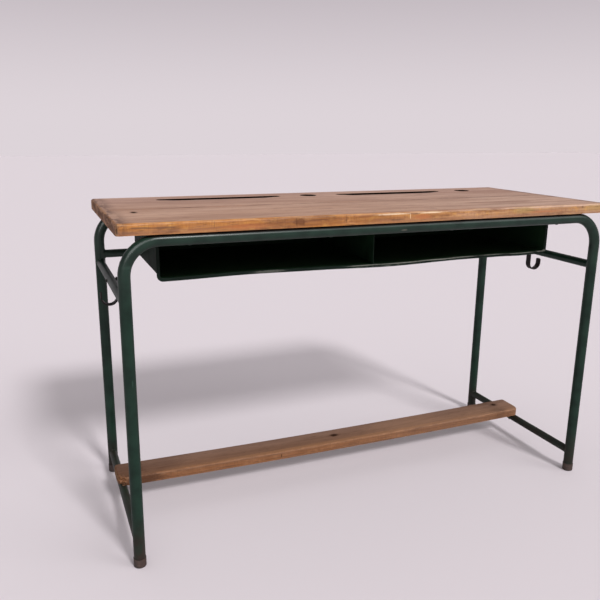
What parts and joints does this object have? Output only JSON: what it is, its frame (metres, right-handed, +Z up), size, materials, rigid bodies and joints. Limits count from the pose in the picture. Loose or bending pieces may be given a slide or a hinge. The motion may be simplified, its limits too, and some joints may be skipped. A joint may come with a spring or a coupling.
{
  "type": "double school desk",
  "caption": "Wide wooden school desk on a bent green tube frame, with a divided open book tray, pen grooves, inkwell holes, bag hooks and a footrest board.",
  "frame": {"origin": "on the floor, midway between the four legs", "axes": "+X to the pupils' right along the desk's width, +Y away from the pupils, +Z up"},
  "size_m": [1.227, 0.472, 0.74],
  "materials": {
    "frame_paint": "dark green enamel, semi-gloss, worn",
    "tray_paint": "dark green enamel, dusty, worn bright at the edges",
    "top_wood": "old waxed softwood, warm brown",
    "footrest_wood": "dark worn softwood",
    "hook_iron": "bare dark iron, aged",
    "foot_rubber": "brown rubber, scuffed",
    "fastener_steel": "dull steel"
  },
  "bodies": {
    "root": {"front_frame": "frame_paint", "rear_frame": "frame_paint", "upper_side_rail_left": "frame_paint", "upper_side_rail_right": "frame_paint", "lower_side_rail_left": "frame_paint", "lower_side_rail_right": "frame_paint", "rear_cross_rail": "frame_paint", "foot_cap_front_left": "foot_rubber", "foot_cap_front_right": "foot_rubber", "foot_cap_rear_left": "foot_rubber", "foot_cap_rear_right": "foot_rubber", "top_front_board": "top_wood", "top_rear_board": "top_wood", "top_screws": "fastener_steel", "tray_shell": "tray_paint", "tray_back_panel": "tray_paint", "tray_divider": "tray_paint", "tray_screws": "fastener_steel", "footrest_board": "footrest_wood", "footrest_screws": "fastener_steel", "bag_hook_left": "hook_iron", "bag_hook_right": "hook_iron", "hook_rivets": "hook_iron"}
  },
  "joints": []
}
